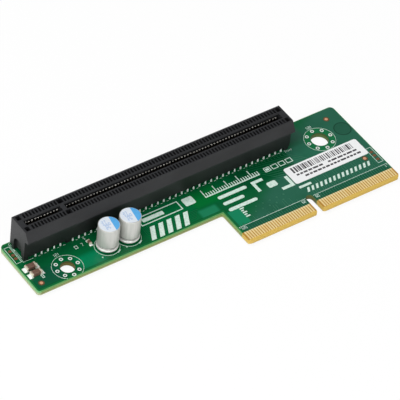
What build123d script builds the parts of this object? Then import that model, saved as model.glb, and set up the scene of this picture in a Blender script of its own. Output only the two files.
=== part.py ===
from build123d import *
import os

# A riser card that lies component side up, in millimetres. X runs along the slot, Y runs
# towards the back edge and Z is up. The origin is the axis of the left mounting hole, at
# the underside of the board.

# Circuit board
board_thickness = 1.57
left_margin = 11.8  # left mounting hole to the left edge
back_margin = 15.75  # left mounting hole to the back edge
front_margin = 3.95  # left mounting hole to the front edge
tongue_length = 13.0  # front edge to the tips of the tongues
step_offset = 48.5  # left mounting hole to the side of the first tongue
back_corner_radius = 1.4
front_corner_radius = 1.0
step_corner_radius = 0.7
outer_tongue_radius = 1.2
notch_side_radius = 0.7
notch_width = 2.35
notch_depth = 6.7
bevel_length = 0.75
tip_thickness = 0.7

# Mounting holes
left_hole_diameter = 4.2
right_hole_diameter = 5.2
right_hole_side = 11.16  # right hole to the right edge
right_hole_back = 9.5  # right hole to the back edge

# Gold edge fingers
finger_pitch = 0.8
finger_width = 0.6
finger_length = 3.0
finger_thickness = 0.05
finger_side = 0.8  # last finger's centre to the side of its tongue
left_fingers = 28
right_fingers = 32

# Slot housing, measured from its first contact and its centre line
slot_offset = 6.3  # first contact, left of the left mounting hole
slot_back = 5.0  # centre line to the back edge
housing_height = 11.2
near_end = 3.0  # first contact's centre to the near end face
far_end = 2.55  # last contact's centre to the far end face
front_reach = 3.3  # centre line to the front of the top and of the foot
back_reach = 3.7  # centre line to the back face
wing_reach = 4.9  # centre line to the edge of the sloping wing along the front
wing_drop = 2.9  # top of the housing to that edge
wing_edge = 0.35  # height of the wing's blunt edge
wing_slope = 0.4  # fall of the wing's underside towards the foot
standoff = 1.3  # gap between the housing and the board
top_chamfer = 0.15
slot_width = 1.76
slot_floor = 2.3
near_overrun = 1.2  # first contact's centre to the slot's near end
far_overrun = 0.6  # last contact's centre to the slot's far end
key_start = 0.4  # last near contact's centre to the key bridge
key_width = 1.35
lead_in = 0.25
bar_thickness = 0.8  # the bar that bridges slot and vents at the top
channel_width = 3.0  # the slot under the bar, where the springs stand
vent_width = 0.6
vent_reach = 3.05  # centre line to a vent's outer wall
end_vent_length = 1.3
end_vent_inset = 0.6
end_vent_depth = 3.2
key_vent_length = 1.7
arch_width = 3.8
arch_height = 5.5
arch_depth = 0.8
pad_length = 1.4
pad_width = 1.0
pad_inset = 0.2

# Locating pegs
peg_diameter = 2.35
peg_clearance = 0.05
peg_chamfer = 0.25
peg_proud = 0.7  # how far the pegs stand out below the board
far_peg_offset = 1.65  # last contact to the far peg

# Slot contacts
contact_pitch = 1.0
near_contacts = 11
far_contacts = 71
key_pitch = 3.0  # last near contact to first far contact
contact_width = 0.3
contact_stock = 0.2
inner_row = 1.6  # centre line to the inner tails
leg_height = 5.2
touch_reach = 0.75  # centre line to the middle of the spring's touching bend
touch_depth = 2.6  # top of the housing to that bend
tip_reach = 1.35
tip_depth = 1.5

# Solder joints under the board
joint_height = 0.6
joint_width = 0.8
lead_joint_width = 1.5

# Can capacitors
can_diameter = 6.3
can_height = 8.5
can_gap = 0.65
can_offset = 13.55  # first can's axis, right of the left mounting hole
can_rise = 1.2  # cans' axes, behind the left mounting hole
can_lift = 0.3
can_top_radius = 0.35
groove_height = 1.9
groove_depth = 0.3
groove_width = 0.7
bung_diameter = 4.9
bung_thickness = 0.9
lead_diameter = 0.6
lead_pitch = 2.5
lead_clearance = 0.1
lead_sides = 8  # flats on a lead and on its hole

# Chip capacitors
chip_length = 3.2
chip_width = 1.6
chip_height = 1.25
chip_gap = 1.0
chip_side = 2.95  # left edge of the board to the middle of the chips
chip_back = 11.15  # back edge to the middle of the chip nearer the slot
chip_band = 0.5
cap_stock = 0.05
fillet_reach = 0.65
fillet_rise = 0.6
small_length = 1.6
small_width = 0.8
small_height = 0.8
small_band = 0.35
small_fillet = 0.3
small_offset = 10.0
small_back = 11.15

# Label and sighting marks
label_length = 25.4
label_width = 6.7
label_thickness = 0.1
label_radius = 0.7
label_side = 2.25  # label to the right edge
label_back = 14.28  # label to the back edge
mark_diameter = 1.0
mark_sides = 16
mark_thickness = 0.05
left_mark_inset = 2.5
right_mark_inset = 4.6
back_mark_inset = 3.7
front_mark_back = 22.1

# Places worked out from the sizes above
left_edge = -left_margin
back_edge = back_margin
bar_front = -front_margin
tip_front = bar_front - tongue_length
left_tongue_width = (left_fingers - 1) * finger_pitch + 2 * finger_side
right_tongue_width = (right_fingers - 1) * finger_pitch + 2 * finger_side
notch_left = step_offset + left_tongue_width
notch_right = notch_left + notch_width
right_edge = notch_right + right_tongue_width
right_hole = (right_edge - right_hole_side, back_edge - right_hole_back)
slot_line = back_edge - slot_back
far_start = (near_contacts - 1) * contact_pitch + key_pitch
near_places = [n * contact_pitch for n in range(near_contacts)]
far_places = [far_start + n * contact_pitch for n in range(far_contacts)]
contact_places = near_places + far_places
key_centre = near_places[-1] + key_pitch / 2
housing_left = -near_end
housing_right = far_places[-1] + far_end
peg_places = [key_centre, far_places[-1] + far_peg_offset]
can_pitch = can_diameter + can_gap
can_places = [(can_offset + n * can_pitch, can_rise) for n in range(2)]
chip_middle = left_edge + chip_side
chip_places = [(chip_middle, back_edge - chip_back - n * (chip_width + chip_gap)) for n in range(2)]
small_place = (small_offset, back_edge - small_back)
slot_datum = Pos(-slot_offset, slot_line, board_thickness)
on_board = Pos(0, 0, board_thickness)
lift = Align.MIN
mid = Align.CENTER


def group(solids):
    """Several separate solids kept as one piece."""
    return Compound([solid for shape in solids for solid in shape.solids()])


def profile_along_x(points, start, end):
    """A closed outline in Y and Z, drawn out from one X to another."""
    face = make_face(Polyline(*points, close=True))
    return Pos(start, 0, 0) * extrude(Plane.YZ * face, amount=end - start)


def mirrored(points):
    """An outline's right half, bottom to top, with its left half added."""
    return points + [(-y, z) for y, z in reversed(points)]


def circuit_board():
    bar = Pos(left_edge, bar_front) * Rectangle(right_edge - left_edge, back_edge - bar_front, align=lift)
    tongues = Pos(step_offset, tip_front) * Rectangle(right_edge - step_offset, tongue_length, align=lift)
    outline = bar + tongues
    corners = [
        ((left_edge, back_edge), back_corner_radius),
        ((right_edge, back_edge), back_corner_radius),
        ((left_edge, bar_front), front_corner_radius),
        ((step_offset, bar_front), step_corner_radius),
        ((step_offset, tip_front), outer_tongue_radius),
        ((right_edge, tip_front), outer_tongue_radius),
    ]
    for corner, radius in corners:
        outline = fillet(outline.vertices().sort_by_distance((*corner, 0))[0], radius)
    outline -= key_notch()
    for side in (notch_left, notch_right):
        outline = fillet(outline.vertices().sort_by_distance((side, tip_front, 0))[0], notch_side_radius)
    board = extrude(outline, amount=board_thickness)
    for cut in edge_bevels() + board_holes():
        board -= cut
    return board


def key_notch():
    """The slot between the tongues, with its round inner end."""
    straight = notch_depth - notch_width / 2
    middle = notch_left + notch_width / 2
    opening = Pos(middle, tip_front) * Rectangle(notch_width, straight, align=(mid, lift))
    return opening + Pos(middle, tip_front + straight) * Circle(notch_width / 2)


def edge_bevels():
    """The wedges cut from both faces along the tongues' tips."""
    drop = (board_thickness - tip_thickness) / 2
    upper = [
        (tip_front, board_thickness - drop),
        (tip_front + bevel_length, board_thickness),
        (tip_front, board_thickness),
    ]
    lower = [(y, board_thickness - z) for y, z in upper]
    return [profile_along_x(points, step_offset, right_edge) for points in (upper, lower)]


def drill(place, diameter):
    return Pos(*place) * Cylinder(diameter / 2, board_thickness, align=(mid, mid, lift))


def wire(place, diameter):
    """A straight stretch of wire through the board, or the hole for one."""
    section = RegularPolygon(diameter / 2, lead_sides)
    return Pos(*place) * extrude(section, amount=board_thickness)


def board_holes():
    holes = [drill((0, 0), left_hole_diameter), drill(right_hole, right_hole_diameter)]
    for x in peg_places:
        holes.append(drill((x - slot_offset, slot_line), peg_diameter + 2 * peg_clearance))
    for place in lead_places():
        holes.append(wire(place, lead_diameter + 2 * lead_clearance))
    return holes


def edge_fingers(first, count, height):
    finger = Box(finger_width, finger_length, finger_thickness, align=(mid, lift, lift))
    start = tip_front + bevel_length
    return group(Pos(first + n * finger_pitch, start, height) * finger for n in range(count))


def housing_envelope():
    """The long bar with the wing that slopes out along its front, in the slot's own place."""
    wing_top = housing_height - wing_drop
    wing_bottom = wing_top - wing_edge
    points = [
        (-front_reach, standoff),
        (-front_reach, wing_bottom - wing_slope),
        (-wing_reach, wing_bottom),
        (-wing_reach, wing_top),
        (-front_reach, housing_height),
        (back_reach - top_chamfer, housing_height),
        (back_reach, housing_height - top_chamfer),
        (back_reach, standoff),
    ]
    return profile_along_x(points, housing_left, housing_right)


def card_slot(start, end):
    """The opening that takes a card's edge, with its lead-in."""
    half = slot_width / 2
    points = [
        (half, slot_floor),
        (half, housing_height - lead_in),
        (half + lead_in, housing_height),
    ]
    return profile_along_x(mirrored(points), start, end)


def spring_channel(start, end):
    """The wider space under the bar, where the springs bend."""
    points = [(channel_width / 2, slot_floor), (channel_width / 2, housing_height - bar_thickness)]
    return profile_along_x(mirrored(points), start, end)


def vents(side):
    """One row of vents: a through opening at each contact and blind ones at ends and key."""
    inner = channel_width / 2
    depth = vent_reach - inner
    middle = side * (inner + vent_reach) / 2
    open_vent = Box(vent_width, depth, housing_height - standoff, align=(mid, mid, lift))
    cuts = [Pos(x, middle, standoff) * open_vent for x in contact_places]
    blind_bottom = housing_height - end_vent_depth
    for x, length in [
        (housing_left + end_vent_inset + end_vent_length / 2, end_vent_length),
        (key_centre, key_vent_length),
        (housing_right - end_vent_inset - end_vent_length / 2, end_vent_length),
    ]:
        cuts.append(Pos(x, middle, blind_bottom) * Box(length, depth, end_vent_depth, align=(mid, mid, lift)))
    return cuts


def end_arch(x):
    """The arched recess in an end face, over the board."""
    spring_line = arch_height - arch_width / 2
    arch = Pos(0, standoff) * Rectangle(arch_width, spring_line - standoff, align=(mid, lift))
    arch += Pos(0, spring_line) * Circle(arch_width / 2)
    return Pos(x, 0, 0) * extrude(Plane.YZ * arch, amount=arch_depth)


def standing_pads():
    """The small pads that carry the housing on the board."""
    pad = Box(pad_length, pad_width, standoff, align=(mid, mid, lift))
    reach = front_reach - pad_inset - pad_width / 2
    inset = pad_inset + pad_length / 2
    places = [housing_left + inset, key_centre, housing_right - inset]
    return [Pos(x, side * reach, 0) * pad for x in places for side in (-1, 1)]


def peg(x):
    length = standoff + board_thickness + peg_proud
    pin = Cylinder(peg_diameter / 2, length, align=(mid, mid, lift))
    pin = chamfer(pin.edges().group_by(Axis.Z)[0], peg_chamfer)
    return Pos(x, 0, standoff - length) * pin


def slot_housing():
    body = housing_envelope()
    key_left = near_places[-1] + key_start
    half_vent = vent_width / 2
    cuts = [
        card_slot(-near_overrun, key_left),
        card_slot(key_left + key_width, far_places[-1] + far_overrun),
        spring_channel(near_places[0] - half_vent, near_places[-1] + half_vent),
        spring_channel(far_places[0] - half_vent, far_places[-1] + half_vent),
        end_arch(housing_left),
        end_arch(housing_right - arch_depth),
    ]
    body -= cuts + vents(1) + vents(-1)
    body += standing_pads() + [peg(x) for x in peg_places]
    return slot_datum * body


def contact(row):
    """A contact behind the centre line: a tail, an upright leg, a spring and its thinned tip."""
    half = contact_stock / 2
    bends = [(row, 0), (row, leg_height), (touch_reach, housing_height - touch_depth)]
    away = [(y + half, z) for y, z in bends]
    facing = [(y - half, z) for y, z in reversed(bends)]
    outline = away + [(tip_reach, housing_height - tip_depth)] + facing
    return profile_along_x(outline, -contact_width / 2, contact_width / 2)


def contact_row(row, side, odd):
    places = contact_places[1::2] if odd else contact_places[0::2]
    one = contact(row)
    if side < 0:
        one = mirror(one, about=Plane.XZ)
    return group(slot_datum * Pos(x, 0, 0) * one for x in places)


def solder_peak(width):
    """A peak of solder that hangs below the board, over the end of a tail or a lead."""
    middle = width / 2
    peak = Wedge(width, joint_height, width, middle, middle, middle, middle, align=(mid, lift, mid))
    return Rot(-90, 0, 0) * peak


def joint_row(row, side, odd):
    places = contact_places[1::2] if odd else contact_places[0::2]
    peak = solder_peak(joint_width)
    return group(Pos(x - slot_offset, slot_line + side * row, 0) * peak for x in places)


def can(place):
    """A sealed aluminium can with its rolled groove and a recess for the bung."""
    radius = can_diameter / 2
    seat = can_lift + bung_thickness
    profile = Polyline(
        (0, seat),
        (bung_diameter / 2, seat),
        (bung_diameter / 2, can_lift),
        (radius, can_lift),
        (radius, groove_height - groove_width / 2),
        (radius - groove_depth, groove_height),
        (radius, groove_height + groove_width / 2),
        (radius, can_height - can_top_radius),
        (radius - can_top_radius, can_height),
        (0, can_height),
        close=True,
    )
    body = revolve(Plane.XZ * make_face(profile), axis=Axis.Z)
    return on_board * Pos(*place) * body


def bung(place):
    """The rubber bung that fills the can's mouth and stands on the board."""
    body = Cylinder(bung_diameter / 2, can_lift + bung_thickness, align=(mid, mid, lift))
    return on_board * Pos(*place) * body


def lead_places():
    return [(x + side * lead_pitch / 2, y) for x, y in can_places for side in (-1, 1)]


def leads(place):
    """A can's two leads, from the bung down through the board."""
    x, y = place
    return group(wire((x + side * lead_pitch / 2, y), lead_diameter) for side in (-1, 1))


def lead_joints():
    return group(Pos(*place) * solder_peak(lead_joint_width) for place in lead_places())


def chip_body(length, width, height):
    body = Box(length - 2 * cap_stock, width - 2 * cap_stock, height - 2 * cap_stock, align=(mid, mid, lift))
    return Pos(0, 0, cap_stock) * body


def chip_caps(length, width, height, band):
    """The two metal end caps, wrapped over the ceramic's ends."""
    caps = []
    for side in (-1, 1):
        cap = Pos(side * (length - band) / 2, 0, 0) * Box(band, width, height, align=(mid, mid, lift))
        caps.append(cap - chip_body(length, width, height))
    return caps


def chip_fillets(length, width, reach, rise):
    """A wedge of solder against each end cap."""
    fillets = []
    for side in (-1, 1):
        foot = side * length / 2
        wedge = make_face(Polyline((foot, 0), (foot + side * reach, 0), (foot, rise), close=True))
        fillets.append(extrude(Plane.XZ * wedge, amount=width / 2, both=True))
    return fillets


def label():
    x = right_edge - label_side - label_length / 2
    y = back_edge - label_back - label_width / 2
    sheet = extrude(RectangleRounded(label_length, label_width, label_radius), amount=label_thickness)
    return on_board * Pos(x, y) * sheet


def sighting_marks():
    disc = extrude(RegularPolygon(mark_diameter / 2, mark_sides), amount=mark_thickness)
    places = [
        (left_edge + left_mark_inset, bar_front + left_mark_inset),
        (right_edge - right_mark_inset, back_edge - back_mark_inset),
        (right_edge - right_mark_inset, back_edge - front_mark_back),
    ]
    return group(on_board * Pos(*place) * disc for place in places)


def all_pieces():
    outer_row = vent_reach - contact_stock / 2
    left_first = step_offset + finger_side
    right_first = notch_right + finger_side
    pieces = {
        "circuit_board": circuit_board(),
        "edge_fingers_top_left": edge_fingers(left_first, left_fingers, board_thickness),
        "edge_fingers_top_right": edge_fingers(right_first, right_fingers, board_thickness),
        "edge_fingers_under_left": edge_fingers(left_first, left_fingers, -finger_thickness),
        "edge_fingers_under_right": edge_fingers(right_first, right_fingers, -finger_thickness),
        "slot_housing": slot_housing(),
        "capacitor_lead_joints": lead_joints(),
        "paper_label": label(),
        "sighting_marks": sighting_marks(),
    }
    for side, side_name in ((-1, "front"), (1, "back")):
        for row, odd, row_name in ((outer_row, True, "outer"), (inner_row, False, "inner")):
            name = f"{side_name}_{row_name}"
            pieces[f"slot_contacts_{name}"] = contact_row(row, side, odd)
            pieces[f"solder_joints_{name}"] = joint_row(row, side, odd)
    for name, place in zip(("left", "right"), can_places):
        pieces[f"capacitor_can_{name}"] = can(place)
        pieces[f"capacitor_bung_{name}"] = bung(place)
        pieces[f"capacitor_leads_{name}"] = leads(place)
    chip = chip_length, chip_width, chip_height
    for name, place in zip(("back", "front"), chip_places):
        seat = on_board * Pos(*place)
        pieces[f"chip_capacitor_{name}"] = seat * chip_body(*chip)
        pieces[f"chip_end_caps_{name}"] = group(seat * cap for cap in chip_caps(*chip, chip_band))
    small = small_length, small_width, small_height
    seat = on_board * Pos(*small_place) * Rot(0, 0, 90)
    pieces["small_chip_capacitor"] = seat * chip_body(*small)
    pieces["small_chip_end_caps"] = group(seat * cap for cap in chip_caps(*small, small_band))
    fillets = [seat * wedge for wedge in chip_fillets(small_length, small_width, small_fillet, small_fillet)]
    for place in chip_places:
        wedges = chip_fillets(chip_length, chip_width, fillet_reach, fillet_rise)
        fillets += [on_board * Pos(*place) * wedge for wedge in wedges]
    pieces["chip_solder_fillets"] = group(fillets)
    return pieces


os.makedirs("parts", exist_ok=True)
for node, piece in all_pieces().items():
    export_step(piece, f"parts/{node}.step")
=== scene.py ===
import math
import random

import bmesh
import bpy
from mathutils import Matrix, Vector


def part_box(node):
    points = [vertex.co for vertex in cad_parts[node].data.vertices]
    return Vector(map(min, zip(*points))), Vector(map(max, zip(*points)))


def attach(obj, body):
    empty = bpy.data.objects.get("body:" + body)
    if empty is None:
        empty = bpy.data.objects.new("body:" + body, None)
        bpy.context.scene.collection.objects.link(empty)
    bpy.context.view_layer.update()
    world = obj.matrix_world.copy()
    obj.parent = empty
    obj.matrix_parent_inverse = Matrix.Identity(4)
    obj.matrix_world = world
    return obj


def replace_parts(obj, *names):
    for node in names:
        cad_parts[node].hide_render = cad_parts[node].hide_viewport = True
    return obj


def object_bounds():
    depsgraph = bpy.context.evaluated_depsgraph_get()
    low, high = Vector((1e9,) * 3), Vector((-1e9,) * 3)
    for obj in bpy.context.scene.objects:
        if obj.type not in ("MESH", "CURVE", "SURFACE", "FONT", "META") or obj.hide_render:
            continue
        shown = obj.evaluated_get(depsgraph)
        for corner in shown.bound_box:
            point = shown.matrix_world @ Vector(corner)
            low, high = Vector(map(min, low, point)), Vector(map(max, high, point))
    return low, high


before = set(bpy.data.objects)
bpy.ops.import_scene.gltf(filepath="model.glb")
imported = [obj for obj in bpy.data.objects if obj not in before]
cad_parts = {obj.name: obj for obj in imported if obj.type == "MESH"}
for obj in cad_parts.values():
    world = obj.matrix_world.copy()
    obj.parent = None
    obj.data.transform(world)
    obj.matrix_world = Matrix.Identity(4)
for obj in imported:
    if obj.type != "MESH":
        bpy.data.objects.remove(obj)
cad_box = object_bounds()

# Circuit board: an L-shaped panel of glass cloth and epoxy, pressed with copper foil and coated
# on both faces with green solder mask. It is routed to its outline, so its edges and its holes
# show bare laminate, and the mask stops at the gold fingers, where the tips are bevelled.


def paint(red, green, blue):
    """A colour as it is read on a screen, from 0 to 255, as the shader wants it."""
    shares = (red / 255, green / 255, blue / 255)
    return [s / 12.92 if s <= 0.04045 else ((s + 0.055) / 1.055) ** 2.4 for s in shares] + [1]


def surface(name, colour, roughness, metallic=0.0):
    """A new material, its node tree and its shader."""
    material = bpy.data.materials.new(name)
    material.use_nodes = True
    shader = material.node_tree.nodes["Principled BSDF"]
    shader.inputs["Base Color"].default_value = colour
    shader.inputs["Roughness"].default_value = roughness
    shader.inputs["Metallic"].default_value = metallic
    return material, material.node_tree, shader


def feed(tree, socket, value):
    """A socket takes a number, a colour or another node's output."""
    if isinstance(value, bpy.types.NodeSocket):
        tree.links.new(value, socket)
    else:
        socket.default_value = value


def calc(tree, operation, first, second=0.0):
    """One step of arithmetic on numbers or outputs."""
    step = tree.nodes.new("ShaderNodeMath")
    step.operation = operation
    feed(tree, step.inputs[0], first)
    feed(tree, step.inputs[1], second)
    return step.outputs[0]


def ramp(tree, value, start, end, low=0.0, high=1.0):
    """low up to start, high from end, and even between them."""
    step = tree.nodes.new("ShaderNodeMapRange")
    step.interpolation_type = "SMOOTHSTEP"
    for name, number in zip(("From Min", "From Max", "To Min", "To Max"), (start, end, low, high)):
        step.inputs[name].default_value = number
    tree.links.new(value, step.inputs["Value"])
    return step.outputs["Result"]


def blend(tree, share, first, second):
    """The first colour where the share is 0, and the second where it is 1."""
    step = tree.nodes.new("ShaderNodeMix")
    step.data_type = "RGBA"
    feed(tree, step.inputs[0], share)
    feed(tree, step.inputs[6], first)
    feed(tree, step.inputs[7], second)
    return step.outputs[2]


def between(tree, value, low, high, soft):
    """1 between two bounds and 0 outside them, with soft ends."""
    above = ramp(tree, value, low - soft, low + soft)
    below = ramp(tree, value, high + soft, high - soft)
    return calc(tree, "MULTIPLY", above, below)


def place(tree):
    """The point on the part, in millimetres."""
    found = tree.nodes.new("ShaderNodeTexCoord")
    millimetres = tree.nodes.new("ShaderNodeVectorMath")
    millimetres.operation = "SCALE"
    millimetres.inputs["Scale"].default_value = 1000
    tree.links.new(found.outputs["Object"], millimetres.inputs[0])
    return millimetres.outputs[0]


def coordinates(tree, spot):
    """X, Y and Z of a point."""
    split = tree.nodes.new("ShaderNodeSeparateXYZ")
    tree.links.new(spot, split.inputs[0])
    return split.outputs[0], split.outputs[1], split.outputs[2]


def facing_up(tree):
    """How far a face looks up: 1 for a top face, 0 for a wall and -1 for an underside."""
    found = tree.nodes.new("ShaderNodeTexCoord")
    return coordinates(tree, found.outputs["Normal"])[2]


def speckle(tree, spot, size, detail=3.0, stretch=(1, 1, 1)):
    """Even cloudy variation from 0 to 1, with lumps of about the size in millimetres."""
    pull = tree.nodes.new("ShaderNodeVectorMath")
    pull.operation = "MULTIPLY"
    pull.inputs[1].default_value = stretch
    tree.links.new(spot, pull.inputs[0])
    cloud = tree.nodes.new("ShaderNodeTexNoise")
    cloud.inputs["Scale"].default_value = 1 / size
    cloud.inputs["Detail"].default_value = detail
    tree.links.new(pull.outputs[0], cloud.inputs["Vector"])
    return cloud.outputs["Fac"]


def relief(tree, shader, height, strength, depth):
    """Raises the surface by the height, with the depth in millimetres."""
    step = tree.nodes.new("ShaderNodeBump")
    step.inputs["Strength"].default_value = strength
    step.inputs["Distance"].default_value = depth / 1000
    tree.links.new(height, step.inputs["Height"])
    tree.links.new(step.outputs[0], shader.inputs["Normal"])


def near_axis(tree, x, y, centre, radius, soft):
    """1 within the radius of an upright axis, and 0 past the soft edge outside it."""
    across = calc(tree, "SUBTRACT", x, centre.x)
    along = calc(tree, "SUBTRACT", y, centre.y)
    square = calc(tree, "ADD", calc(tree, "MULTIPLY", across, across), calc(tree, "MULTIPLY", along, along))
    return ramp(tree, calc(tree, "SQRT", square), radius + soft, radius)


def box_mm(node):
    """The low and the high corner of a solid, in millimetres."""
    low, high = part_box(node)
    return low * 1000, high * 1000


board_low, board_high = box_mm("circuit_board")
finger_low, finger_high = box_mm("edge_fingers_top_left")
board_top = board_high.z
front_edge = -3.95
step_side = finger_low.x - 0.5
mask_end = finger_high.y
hole_left = Vector((0, 0))
hole_right = Vector((89.29, 6.25))
hole_left_radius = 2.1
hole_right_radius = 2.6
dark_patch = Vector((97.6, 6.6))
dark_patch_radius = 2.5

board_coat, tree, shader = surface("solder_mask_and_laminate", paint(0, 98, 54), 0.3)
spot = place(tree)
x, y, z = coordinates(tree, spot)
up = facing_up(tree)

from_left = calc(tree, "SUBTRACT", x, board_low.x)
from_right = calc(tree, "SUBTRACT", board_high.x, x)
from_back = calc(tree, "SUBTRACT", board_high.y, y)
from_bar_front = calc(tree, "SUBTRACT", y, front_edge)
from_step = calc(tree, "SUBTRACT", x, step_side)
from_tips = calc(tree, "SUBTRACT", y, board_low.y)
from_front = calc(tree, "MAXIMUM", from_bar_front, calc(tree, "MINIMUM", from_step, from_tips))
from_ends = calc(tree, "MINIMUM", from_left, from_right)
inset = calc(tree, "MINIMUM", from_ends, calc(tree, "MINIMUM", from_back, from_front))

# The mask is deep green left of a slanted line, and right of it it is painted grey green as a
# reflection of the room. The copper pours show through it: each has its left, right, near and far
# side, the softness of its edge and its tone. Two of them are painted shade, not pours: the gap
# between the two chips, and the board right of the slot's far end, where the slot's shadow falls.
reflection_slope = 1.47
slant = calc(tree, "SUBTRACT", x, calc(tree, "MULTIPLY", y, reflection_slope))
mask = blend(tree, ramp(tree, slant, 63, 73), paint(0, 94, 50), paint(40, 100, 78))
chip_left = box_mm("chip_capacitor_back")[0].x
chip_length = 2.6
chip_gap_far = box_mm("chip_capacitor_back")[0].y
chip_gap_near = box_mm("chip_capacitor_front")[1].y
pours_and_painted_shade = (
    # Painted shade in the gap between the two chips.
    (chip_left, chip_left + chip_length, chip_gap_near, chip_gap_far, 0.08, paint(6, 40, 26)),
    (-11.0, -2.0, -3.2, 3.0, 1.6, paint(10, 82, 56)),
    (3.5, 11.0, -3.3, 1.6, 1.2, paint(0, 128, 84)),
    (24.0, 43.0, -3.4, 6.6, 2.0, paint(0, 104, 56)),
    (42.6, 48.3, -3.4, -0.2, 0.6, paint(26, 126, 86)),
    (43.0, 52.0, 0.6, 6.6, 1.0, paint(0, 110, 48)),
    (58.0, 77.0, 0.0, 7.4, 1.5, paint(0, 78, 42)),
    (48.9, 53.4, -10.7, -4.6, 0.3, paint(18, 130, 90)),
    (49.0, 99.6, -13.2, -11.2, 0.2, paint(24, 88, 64)),
    (77.6, 88.0, -1.0, 7.4, 0.5, paint(40, 108, 84)),
    # Painted shadow of the slot, right of its far end.
    (80.5, 86.0, 9.0, 15.0, 1.0, paint(44, 88, 72)),
)
for left, right, near, far, soft, tone in pours_and_painted_shade:
    within = calc(tree, "MULTIPLY", between(tree, x, left, right, soft), between(tree, y, near, far, soft))
    mask = blend(tree, within, mask, tone)
mask = blend(tree, ramp(tree, speckle(tree, spot, 7.0), 0.4, 0.75, 0.0, 0.3), mask, paint(4, 74, 42))

# The pour stops short of the routed edge, so a darker and then a lighter band follow the outline.
pour_setback = 0.85
poured_part = ramp(tree, x, 66, 52)
pour_end = ramp(tree, inset, pour_setback + 0.25, pour_setback + 0.05, 0.0, 0.6)
mask = blend(tree, calc(tree, "MULTIPLY", poured_part, pour_end), mask, paint(2, 72, 36))
bare_rim = ramp(tree, inset, pour_setback, pour_setback - 0.2, 0.0, 0.8)
mask = blend(tree, calc(tree, "MULTIPLY", poured_part, bare_rim), mask, paint(10, 108, 54))
# Painted highlight: a thin pale line right at the routed edge, where the mask's rim catches the light.
mask = blend(tree, ramp(tree, inset, 0.22, 0.06), mask, paint(96, 156, 100))
# Painted shadow: a thin dark olive line along the mask's end at the fingers.
mask = blend(tree, ramp(tree, y, mask_end + 0.3, mask_end + 0.1), mask, paint(54, 84, 34))

# The copper keeps clear of the right hole, so the mask is lighter round it. A round patch near the
# right edge is darker, with a ring at its rim.
hole_clearing = calc(tree, "MULTIPLY", near_axis(tree, x, y, hole_right, 4.55, 0.1), 0.8)
mask = blend(tree, hole_clearing, mask, paint(14, 112, 62))
patch_field = calc(tree, "MULTIPLY", near_axis(tree, x, y, dark_patch, dark_patch_radius, 0.3), 0.35)
mask = blend(tree, patch_field, mask, paint(24, 70, 52))
patch_outer = near_axis(tree, x, y, dark_patch, dark_patch_radius + 0.05, 0.2)
patch_inner = near_axis(tree, x, y, dark_patch, dark_patch_radius - 0.3, 0.2)
patch_ring = calc(tree, "MULTIPLY", calc(tree, "SUBTRACT", patch_outer, patch_inner), 0.7)
mask = blend(tree, patch_ring, mask, paint(20, 62, 46))

# The laminate has a dark glass layer between a pale lower half and a greener upper one.
layers = tree.nodes.new("ShaderNodeTexWave")
layers.bands_direction = "Z"
layers.inputs["Scale"].default_value = 1.35
layers.inputs["Distortion"].default_value = 1.2
layers.inputs["Detail Scale"].default_value = 3.0
tree.links.new(spot, layers.inputs["Vector"])
laminate = blend(tree, ramp(tree, z, 0.4, 0.55), paint(164, 170, 116), paint(112, 124, 66))
laminate = blend(tree, ramp(tree, z, 0.65, 0.85), laminate, paint(142, 166, 98))
laminate = blend(tree, ramp(tree, z, 1.0, 1.3), laminate, paint(92, 162, 82))
laminate = blend(tree, calc(tree, "MULTIPLY", layers.outputs["Fac"], 0.3), laminate, paint(110, 118, 66))
# Painted highlight: near the left end the laminate is paler, where the lit end catches the light.
highlit_laminate = blend(tree, ramp(tree, z, 0.5, 1.1), paint(190, 200, 164), paint(116, 190, 130))
laminate = blend(tree, ramp(tree, x, board_low.x + 1.4, board_low.x + 0.2, 0.0, 0.6), laminate, highlit_laminate)

# The walls of the holes are painted darker than the outline, as shade in the bores, and the
# notch's head is darker too.
wall_depth = 0.1
left_bore = near_axis(tree, x, y, hole_left, hole_left_radius + wall_depth, wall_depth)
right_bore = near_axis(tree, x, y, hole_right, hole_right_radius + wall_depth, wall_depth)
left_wall = blend(tree, ramp(tree, z, 0.7, 1.3), paint(106, 96, 34), paint(72, 68, 18))
right_wall = blend(tree, ramp(tree, z, 0.7, 1.3), paint(84, 108, 50), paint(58, 82, 30))
wall_tone = blend(tree, ramp(tree, x, 40, 50), left_wall, right_wall)
laminate = blend(tree, calc(tree, "MAXIMUM", left_bore, right_bore), laminate, wall_tone)
behind_notch = between(tree, x, 71.6, 74.4, 0.3)
notch_head = calc(tree, "MULTIPLY", behind_notch, ramp(tree, y, mask_end, mask_end + 0.4))
laminate = blend(tree, calc(tree, "MULTIPLY", notch_head, 0.75), laminate, paint(84, 76, 24))

# The mask ends at the fingers, and the bare tongues have a yellower tone.
past_mask = ramp(tree, y, mask_end + 0.02, mask_end - 0.02)
bare = calc(tree, "MULTIPLY", past_mask, ramp(tree, x, step_side - 1, step_side - 0.9))
tip_tone = blend(tree, ramp(tree, z, 0.2, 0.5), paint(204, 182, 112), paint(208, 174, 84))
laminate = blend(tree, bare, laminate, tip_tone)
flat = ramp(tree, calc(tree, "ABSOLUTE", up), 0.93, 0.96)
masked_faces = calc(tree, "MULTIPLY", flat, calc(tree, "SUBTRACT", 1.0, bare))
laminate = blend(tree, calc(tree, "MULTIPLY", bare, flat), laminate, paint(180, 132, 48))
feed(tree, shader.inputs["Base Color"], blend(tree, masked_faces, laminate, mask))
feed(tree, shader.inputs["Roughness"], ramp(tree, masked_faces, 0.0, 1.0, 0.62, 0.26))
shader.inputs["Specular IOR Level"].default_value = 0.35
relief(tree, shader, speckle(tree, spot, 0.35, 4.0), 0.25, 0.02)
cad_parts["circuit_board"].data.materials[0] = board_coat

# Copper tracks and plugged vias: etched foil about 0.03 mm thick, under the solder mask of both
# faces. The mask flows over them, so they show only as slightly raised, lighter lines. They run
# from the slot to the edge fingers, straight or at 45 degrees, in evenly spaced bundles.

random.seed(6)


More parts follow.
